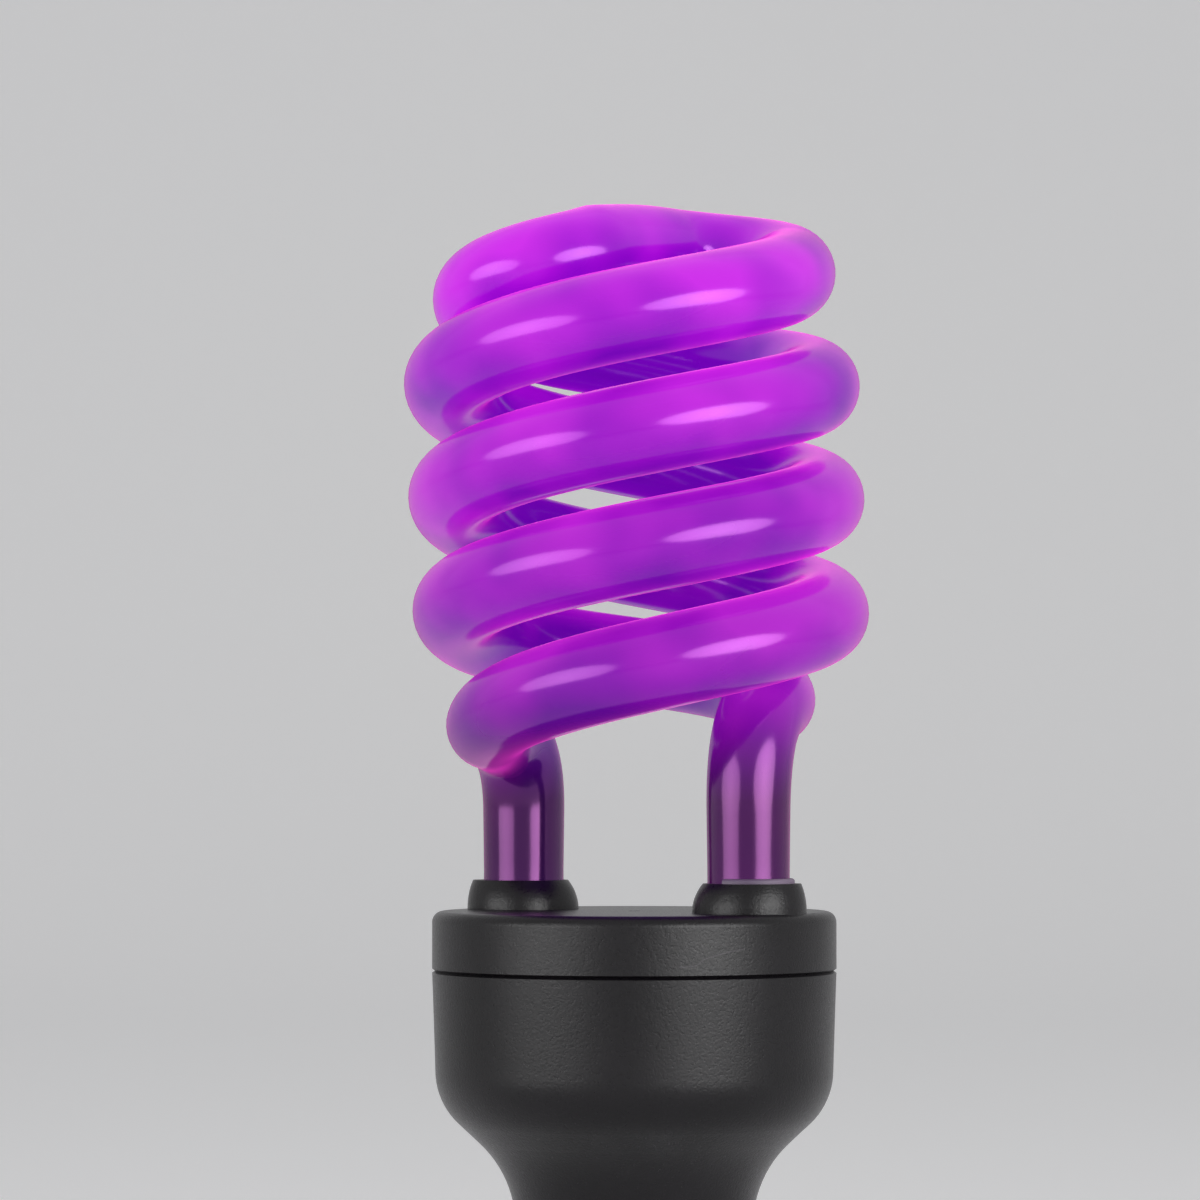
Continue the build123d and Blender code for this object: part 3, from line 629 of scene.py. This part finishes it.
    def widths(self, points: list[Vector]) -> list[float]:
        """The glass radius at each point of a half.

        Args:
            points: the half's route, from the crest to the leg's end.

        Returns:
            Radii in millimetres.
        """
        runs = [0.0]
        for a, b in zip(points[::-1], points[::-1][1:]):
            runs.append(runs[-1] + (b - a).length)
        straight = self.leg_join - self.tube_end - self.end_round
        radii = []
        for run in runs:
            share = min(max((run - straight) / self.bend_reach, 0.0), 1.0)
            radii.append(self.leg_radius + (self.glass_radius - self.leg_radius) * share)
        return radii[::-1]

    def end_rings(self, half: TubeHalf) -> list[tuple[Vector, float]]:
        """The rounded foot of a leg.

        Args:
            half: the half that the leg belongs to.

        Returns:
            Points with their radii, in millimetres.
        """
        leg = Vector((half.side * self.leg_spread, half.leg_depth, 0))
        rings = []
        for i in range(1, self.end_steps + 1):
            angle = math.radians(90 * i / self.end_steps)
            drop = self.end_round * math.sin(angle)
            radius = self.leg_radius - self.end_round * (1 - math.cos(angle))
            height = self.tube_end + self.end_round - drop
            rings.append((leg + Vector((0, 0, height)), radius))
        return rings

    def eased(self, line: list[tuple[Vector, float]], crest: int) -> list[tuple[Vector, float]]:
        """Rounds off the rise and fall where the two halves meet.

        Args:
            line: points with their radii, from one leg's end to the other's.
            crest: place of the crest in the line.

        Returns:
            The same line with its heights eased near the crest.
        """
        heights = [point.z for point, _ in line]
        for _ in range(self.ease_passes):
            before = list(heights)
            for i in range(crest - self.ease_reach, crest + self.ease_reach + 1):
                heights[i] = (before[i - 1] + 2 * before[i] + before[i + 1]) / 4
        return [(Vector((p.x, p.y, z)), radius) for (p, radius), z in zip(line, heights)]

    def centre_line(self) -> bpy.types.Object:
        """A row of edges along the tube's axis that carries the glass radius."""
        halves = []
        for half in (self.left, self.right):
            points = self.route(half)
            line = list(zip(points, self.widths(points))) + self.end_rings(half)
            halves.append(line)
        line = self.eased(halves[0][::-1][:-1] + halves[1], len(halves[0]) - 1)
        mesh = bpy.data.meshes.new("tube_line")
        edges = [(i, i + 1) for i in range(len(line) - 1)]
        mesh.from_pydata([p * MM for p, _ in line], edges, [])
        radius = mesh.attributes.new("glass_radius", "FLOAT", "POINT")
        radius.data.foreach_set("value", [r * MM for _, r in line])
        made = bpy.data.objects.new("tube_line", mesh)
        bpy.context.scene.collection.objects.link(made)
        return made

    def tree(self) -> Tree:
        """The Geometry Nodes tree that draws the glass round its centre line and stores which way its
        points face, for the glass's painted light and shade.
        """
        tree = bpy.data.node_groups.new("drawn_glass_tube", "GeometryNodeTree")
        tree.interface.new_socket("Geometry", in_out="INPUT", socket_type="NodeSocketGeometry")
        tree.interface.new_socket("Sides", in_out="INPUT", socket_type="NodeSocketInt")
        tree.interface.new_socket("Geometry", in_out="OUTPUT", socket_type="NodeSocketGeometry")
        entry, leave = tree.nodes.new("NodeGroupInput"), tree.nodes.new("NodeGroupOutput")
        curve = tree.nodes.new("GeometryNodeMeshToCurve")
        width = tree.nodes.new("GeometryNodeInputNamedAttribute")
        width.data_type = "FLOAT"
        width.inputs["Name"].default_value = "glass_radius"
        ring = tree.nodes.new("GeometryNodeCurvePrimitiveCircle")
        ring.inputs["Radius"].default_value = 1.0
        sweep = tree.nodes.new("GeometryNodeCurveToMesh")
        sweep.inputs["Fill Caps"].default_value = True
        shade = tree.nodes.new("GeometryNodeSetShadeSmooth")
        real = tree.nodes.new("GeometryNodeRealizeInstances")
        dress = tree.nodes.new("GeometryNodeSetMaterial")
        dress.inputs["Material"].default_value = self.glass.material()
        tree.links.new(entry.outputs["Geometry"], curve.inputs["Mesh"])
        tree.links.new(entry.outputs["Sides"], ring.inputs["Resolution"])
        tree.links.new(width.outputs["Attribute"], sweep.inputs["Scale"])
        tree.links.new(curve.outputs["Curve"], sweep.inputs["Curve"])
        tree.links.new(ring.outputs["Curve"], sweep.inputs["Profile Curve"])
        # Which way each point faces, up and away from the axis; the glass paints its highlight on the tops
        # and its shade on the undersides and inner sides from these.
        facing = tree.nodes.new("GeometryNodeInputNormal")
        parts = tree.nodes.new("ShaderNodeSeparateXYZ")
        keep = tree.nodes.new("GeometryNodeStoreNamedAttribute")
        keep.data_type = "FLOAT"
        keep.domain = "POINT"
        keep.inputs["Name"].default_value = "upward"
        tree.links.new(facing.outputs["Normal"], parts.inputs["Vector"])
        tree.links.new(parts.outputs["Z"], keep.inputs["Value"])
        tree.links.new(sweep.outputs["Mesh"], keep.inputs["Geometry"])
        place = tree.nodes.new("GeometryNodeInputPosition")
        level = tree.nodes.new("ShaderNodeVectorMath")
        level.operation = "MULTIPLY"
        level.inputs[1].default_value = (1.0, 1.0, 0.0)
        away = tree.nodes.new("ShaderNodeVectorMath")
        away.operation = "NORMALIZE"
        share = tree.nodes.new("ShaderNodeVectorMath")
        share.operation = "DOT_PRODUCT"
        hold = tree.nodes.new("GeometryNodeStoreNamedAttribute")
        hold.data_type = "FLOAT"
        hold.domain = "POINT"
        hold.inputs["Name"].default_value = "outward"
        tree.links.new(place.outputs["Position"], level.inputs[0])
        tree.links.new(level.outputs["Vector"], away.inputs[0])
        tree.links.new(away.outputs["Vector"], share.inputs[0])
        tree.links.new(facing.outputs["Normal"], share.inputs[1])
        tree.links.new(share.outputs["Value"], hold.inputs["Value"])
        tree.links.new(keep.outputs["Geometry"], hold.inputs["Geometry"])
        tree.links.new(hold.outputs["Geometry"], shade.inputs["Geometry"])
        tree.links.new(shade.outputs["Geometry"], real.inputs["Geometry"])
        tree.links.new(real.outputs["Geometry"], dress.inputs["Geometry"])
        tree.links.new(dress.outputs["Geometry"], leave.inputs["Geometry"])
        return tree

    def build(self) -> bpy.types.Object:
        """Makes the glass tube and puts it in place of its plain solid."""
        line = self.centre_line()
        tree = self.tree()
        modifier = line.modifiers.new("glass", "NODES")
        modifier.node_group = tree
        sides = next(s for s in tree.interface.items_tree if s.name == "Sides")
        modifier[sides.identifier] = self.sides
        graph = bpy.context.evaluated_depsgraph_get()
        mesh = bpy.data.meshes.new_from_object(line.evaluated_get(graph))
        bpy.data.objects.remove(line)
        made = bpy.data.objects.new("glass_tube", mesh)
        bpy.context.scene.collection.objects.link(made)
        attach(made, "root")
        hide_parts("discharge_tube")
        log.info("glass_tube: %d faces", len(mesh.polygons))
        return made


@dataclass
class BallastCase:
    """The black housing, its cover with two leg collars, and the cement in the collars."""

    plastic: Finish = Finish(
        "black_plastic",
        (0.0030, 0.0024, 0.0034),
        (0.0060, 0.0050, 0.0066),
        roughness=0.31,
        spread=0.14,
        shine=0.34,
        grain=Grain.SPARKED,
        grain_size=0.00032,
        depth=0.00007,
    )
    scratched: Finish = replace(
        plastic,
        name="scratched_plastic",
        scratch=Scratch(((12.0, 58.8), (15.8, 58.85), (19.6, 59.7), (24.2, 60.2), (31.5, 60.8))),
    )
    cement: Finish = Finish("cement", (0.09, 0.06, 0.11), (0.26, 0.20, 0.28), roughness=0.5)

    def finishes(self) -> dict[str, Finish]:
        """Each node of the case with its finish."""
        return {
            "ballast_housing": self.plastic,
            "tube_cover": self.scratched,
            "leg_cement_left": self.cement,
            "leg_cement_right": self.cement,
        }


@dataclass
class ScrewCap:
    """The threaded shell, its insulator and the centre contact.

    Attributes:
        shell: finish of the sheet shell.
        glass: finish of the insulator.
        brass: finish of the centre contact.
        solder: finish of the drop on the contact.
        crest_radius: outer radius of the thread and the skirt, in millimetres.
        root_radius: outer radius between the thread's turns.
        pitch: rise of the right-handed thread in one turn.
        wall: thickness of the sheet.
        lip: inner radius and height of the shell's foot.
        cone_top: height at which the cone reaches the root radius.
        skirt_foot: height of the skirt's lower edge.
        cap_top: height of the shell's upper edge.
        run_in: height over which the thread starts and ends.
        around: steps in one turn of the mesh.
        rows: steps up the threaded part.
        crease: degrees over which an edge stays sharp.
    """

    shell: Finish = Finish(
        "cap_metal", (0.62, 0.62, 0.64), (0.72, 0.72, 0.73), roughness=0.27, metallic=1.0, grain=Grain.DRAWN
    )
    glass: Finish = Finish(
        "cap_glass", (0.012, 0.012, 0.014), (0.03, 0.028, 0.032), roughness=0.16, coat=0.6
    )
    brass: Finish = BRASS
    solder: Finish = Finish("solder", (0.50, 0.51, 0.52), (0.60, 0.61, 0.62), roughness=0.42, metallic=1.0)
    crest_radius: float = 13.15
    root_radius: float = 12.25
    pitch: float = 3.62
    wall: float = 0.35
    lip: Span = (10.2, 6.0)
    cone_top: float = 8.8
    skirt_foot: float = 23.3
    cap_top: float = 25.5
    run_in: float = 2.0
    around: int = 144
    rows: int = 96
    crease: float = 38.0

    def thread(self, angle: float, height: float) -> float:
        """How far the thread stands out of its root, in millimetres.

        Args:
            angle: radians round the cap, from +X towards +Y.
            height: millimetres above the foot of the contact.

        Returns:
            The height of the thread there.
        """
        phase = height / self.pitch - angle / (2 * math.pi)
        rise = 0.5 + 0.5 * math.cos(2 * math.pi * phase)
        start = smooth((height - self.cone_top) / self.run_in)
        end = smooth((self.skirt_foot - self.wall - height) / self.run_in)
        return (self.crest_radius - self.root_radius) * rise * start * end

    def section(self, angle: float) -> list[Span]:
        """The closed section of the shell's wall at one angle.

        Args:
            angle: radians round the cap, from +X towards +Y.

        Returns:
            Radii and heights in millimetres, in order round the section.
        """
        low, high = self.cone_top, self.skirt_foot - self.wall
        heights = [low + (high - low) * i / self.rows for i in range(self.rows + 1)]
        outer = [(self.root_radius + self.thread(angle, z), z) for z in heights]
        inner = [(radius - self.wall, z) for radius, z in outer[::-1]]
        rim = [
            (self.crest_radius, self.skirt_foot),
            (self.crest_radius, self.cap_top),
            (self.root_radius - self.wall, self.cap_top),
        ]
        return [(self.lip[0] + self.wall, self.lip[1]), *outer, *rim, *inner, self.lip]

    def build(self) -> bpy.types.Object:
        """Makes the threaded shell and puts it in place of its plain solid."""
        verts, faces = [], []
        for i in range(self.around):
            angle = 2 * math.pi * i / self.around
            for radius, height in self.section(angle):
                verts.append((radius * math.cos(angle) * MM, radius * math.sin(angle) * MM, height * MM))
        count = len(verts) // self.around
        for i in range(self.around):
            here, there = i * count, (i + 1) % self.around * count
            for j in range(count):
                k = (j + 1) % count
                faces.append((here + j, there + j, there + k, here + k))
        mesh = bpy.data.meshes.new("threaded_shell")
        mesh.from_pydata(verts, [], faces)
        shape = bmesh.new()
        shape.from_mesh(mesh)
        bmesh.ops.recalc_face_normals(shape, faces=shape.faces)
        shape.to_mesh(mesh)
        shape.free()
        mesh.shade_smooth()
        mesh.set_sharp_from_angle(angle=math.radians(self.crease))
        mesh.materials.append(self.shell.material())
        made = bpy.data.objects.new("threaded_shell", mesh)
        bpy.context.scene.collection.objects.link(made)
        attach(made, "root")
        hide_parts("screw_shell")
        log.info("threaded_shell: %d faces", len(mesh.polygons))
        return made

    def finishes(self) -> dict[str, Finish]:
        """Each node of the cap with its finish."""
        return {
            "screw_shell": self.shell,
            "cap_insulator": self.glass,
            "centre_contact": self.brass,
            "contact_solder": self.solder,
        }


@dataclass
class Ballast:
    """The circuit board and what it carries, closed in by the housing."""

    board: Finish = Finish("board", (0.42, 0.30, 0.12), (0.50, 0.37, 0.17), roughness=0.5)
    brass: Finish = BRASS
    wire: Finish = Finish("bare_wire", (0.45, 0.43, 0.41), (0.55, 0.53, 0.51), roughness=0.35, metallic=1.0)
    can: Finish = Finish("can", (0.02, 0.025, 0.07), (0.03, 0.035, 0.09), roughness=0.3, coat=0.4)
    ferrite: Finish = Finish("ferrite", (0.02, 0.02, 0.022), (0.04, 0.04, 0.042), roughness=0.7)
    bobbin: Finish = Finish("bobbin_plastic", (0.02, 0.02, 0.022), (0.03, 0.03, 0.033), roughness=0.45)
    copper: Finish = Finish(
        "copper", (0.45, 0.14, 0.05), (0.56, 0.20, 0.08), roughness=0.3, metallic=1.0, grain=Grain.WOUND
    )
    film: Finish = Finish("film_dip", (0.30, 0.03, 0.01), (0.38, 0.05, 0.015), roughness=0.25, coat=0.5)
    moulded: Finish = Finish("component_black", (0.008, 0.008, 0.009), (0.016, 0.016, 0.018))
    lacquer: Finish = Finish(
        "resistor_body", (0.42, 0.30, 0.17), (0.50, 0.37, 0.22), roughness=0.35, coat=0.3
    )
    sleeve: Finish = Finish("wire_cover", (0.48, 0.48, 0.46), (0.56, 0.56, 0.54), roughness=0.45)

    def finishes(self) -> dict[str, Finish]:
        """Each node of the ballast with its finish."""
        made = {
            "circuit_board": self.board,
            "wrap_pins": self.brass,
            "smoothing_capacitor": self.can,
            "choke_core": self.ferrite,
            "choke_bobbin": self.bobbin,
            "choke_winding": self.copper,
            "starting_capacitor": self.film,
            "coupling_capacitor": self.film,
            "transistor_upper": self.moulded,
            "transistor_lower": self.moulded,
            "drive_toroid": self.ferrite,
            "rectifier_diodes": self.moulded,
            "resistors": self.lacquer,
            "fusible_resistor": self.lacquer,
            "live_wire": self.sleeve,
            "neutral_wire": self.sleeve,
        }
        for side in ("left", "right"):
            for place in ("inner", "outer"):
                made[f"lead_wire_{side}_{place}"] = self.wire
        return made


@dataclass(frozen=True)
class SoftBox:
    """One soft box that faces the middle of the coil.

    Attributes:
        name: the lamp's name.
        azimuth: degrees to the right of the camera.
        rise: degrees above the coil.
        size: width and height in metres.
        power: watts.
    """

    name: str
    azimuth: float
    rise: float
    size: Span
    power: float


@dataclass
class Studio:
    """A pale floor and backdrop, two soft boxes, a faint fill and the camera.

    Attributes:
        distance: how far the camera stands in front of the lamp, in metres.
        height: height of the camera.
        aside: how far the camera stands to the right.
        tilt: degrees that the camera looks up.
        lens: focal length in millimetres.
        sensor: width of the camera's sensor in millimetres.
        nearest: where the camera starts to see, in metres.
        floor_colour: linear colour of the floor.
        floor_roughness: roughness of the floor.
        floor_half: half of the floor's width.
        floor_front: how far the floor reaches towards the camera.
        floor_back: how far behind the lamp the backdrop stands.
        backdrop_top: height of the backdrop.
        bend: radius of the curve between floor and backdrop.
        bend_steps: steps in that curve.
        floor_lift: strength of the floor's own light, for what sees it directly.
        fill: strength of the even light.
        sky_seen: strength of the sky, for what sees it directly.
        box_distance: how far the soft boxes hang from what they face.
        box_aim: height of what the soft boxes face.
        grid: degrees over which a soft box spreads its light.
        boxes: the soft boxes.
    """

    distance: float = 0.603
    height: float = 0.0808
    aside: float = -0.0041
    tilt: float = 2.0
    lens: float = 150.8
    sensor: float = 36.0
    nearest: float = 0.01
    floor_colour: Colour = (0.80, 0.80, 0.81)
    floor_roughness: float = 0.9
    floor_half: float = 3.0
    floor_front: float = 3.0
    floor_back: float = 1.6
    backdrop_top: float = 3.0
    bend: float = 0.5
    bend_steps: int = 12
    floor_lift: float = 0.38
    fill: float = 0.22
    sky_seen: float = 0.62
    box_distance: float = 0.9
    box_aim: float = 0.1
    grid: float = 96.0
    boxes: tuple[SoftBox, ...] = (
        SoftBox("left_box", -52.0, 5.0, (0.95, 0.50), 1.3),
        SoftBox("right_box", 41.0, 7.0, (1.00, 0.50), 2.1),
    )

    def seen_directly(self, tree: Tree) -> Socket:
        """Adds nodes that are 1 for what the camera, a gloss or a clear glass sees, and 0 for light.

        Args:
            tree: the tree to add them to.

        Returns:
            The socket that holds the value.
        """
        path = tree.nodes.new("ShaderNodeLightPath")
        seen = sum_of(tree, "MAXIMUM", path.outputs["Is Camera Ray"], path.outputs["Is Glossy Ray"])
        return sum_of(tree, "MAXIMUM", seen, path.outputs["Is Transmission Ray"])

    def paper(self) -> bpy.types.Material:
        """The floor's plain pale material."""
        made = bpy.data.materials.new("floor")
        made.use_nodes = True
        tree = made.node_tree
        shader = tree.nodes["Principled BSDF"]
        shader.inputs["Base Color"].default_value = (*self.floor_colour, 1)
        shader.inputs["Roughness"].default_value = self.floor_roughness
        shader.inputs["Emission Color"].default_value = (*self.floor_colour, 1)
        lift = sum_of(tree, "MULTIPLY", self.seen_directly(tree), self.floor_lift)
        tree.links.new(lift, shader.inputs["Emission Strength"])
        return made

    def floor(self) -> None:
        """Lays a plain floor that curves up into a backdrop."""
        turn = self.floor_back - self.bend
        profile = [(-self.floor_front, 0.0), (turn, 0.0)]
        for i in range(1, self.bend_steps + 1):
            angle = math.radians(90 * i / self.bend_steps)
            profile.append((turn + self.bend * math.sin(angle), self.bend - self.bend * math.cos(angle)))
        profile.append((self.floor_back, self.backdrop_top))
        verts = [(x, y, z) for y, z in profile for x in (-self.floor_half, self.floor_half)]
        faces = [(2 * i, 2 * i + 1, 2 * i + 3, 2 * i + 2) for i in range(len(profile) - 1)]
        mesh = bpy.data.meshes.new("floor")
        mesh.from_pydata(verts, [], faces)
        mesh.shade_smooth()
        mesh.materials.append(self.paper())
        made = bpy.data.objects.new("floor", mesh)
        bpy.context.scene.collection.objects.link(made)

    def hang(self, box: SoftBox) -> None:
        """Hangs one soft box.

        Args:
            box: the soft box.
        """
        data = bpy.data.lights.new(box.name, "AREA")
        data.shape = "ELLIPSE"
        data.size, data.size_y = box.size
        data.energy = box.power
        data.spread = math.radians(self.grid)
        made = bpy.data.objects.new(box.name, data)
        a, e = math.radians(box.azimuth), math.radians(box.rise)
        way = Vector((math.sin(a) * math.cos(e), -math.cos(a) * math.cos(e), math.sin(e)))
        made.location = Vector((0, 0, self.box_aim)) + way * self.box_distance
        made.rotation_euler = (-way).to_track_quat("-Z", "Y").to_euler()
        bpy.context.scene.collection.objects.link(made)

    def world(self) -> None:
        """Fills the shadows with an even pale light."""
        world = bpy.data.worlds.new("studio")
        world.use_nodes = True
        tree = world.node_tree
        background = tree.nodes["Background"]
        background.inputs["Color"].default_value = (1, 1, 1, 1)
        strength = ranged(tree, self.seen_directly(tree), UNIT, (self.fill, self.sky_seen))
        tree.links.new(strength, background.inputs["Strength"])
        bpy.context.scene.world = world

    def camera(self) -> None:
        """Stands the camera where the photograph was taken from."""
        data = bpy.data.cameras.new("camera")
        data.lens = self.lens
        data.sensor_width = self.sensor
        data.clip_start = self.nearest
        made = bpy.data.objects.new("camera", data)
        made.location = (self.aside, -self.distance, self.height)
        made.rotation_euler = (math.radians(90 + self.tilt), 0, 0)
        bpy.context.scene.collection.objects.link(made)
        bpy.context.scene.camera = made

    def build(self) -> None:
        """Sets up everything round the lamp."""
        self.floor()
        for box in self.boxes:
            self.hang(box)
        self.world()
        self.camera()
        bpy.context.scene.view_settings.view_transform = "Standard"


def dress(nodes: dict[str, bpy.types.Object], finishes: dict[str, Finish]) -> None:
    """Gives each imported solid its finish.

    Args:
        nodes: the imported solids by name.
        finishes: the finish of each.
    """
    for name, finish in finishes.items():
        slots = nodes[name].data.materials
        slots.clear()
        slots.append(finish.material())
        log.info("%s: %s", name, finish.name)


def main() -> None:
    """Builds the lamp's looks and the studio round it."""
    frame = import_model()
    DischargeTube().build()
    cap = ScrewCap()
    cap.build()
    for assembly in (BallastCase(), cap, Ballast()):
        dress(frame["nodes"], assembly.finishes())
    Studio().build()


if __name__ == "__main__":
    main()
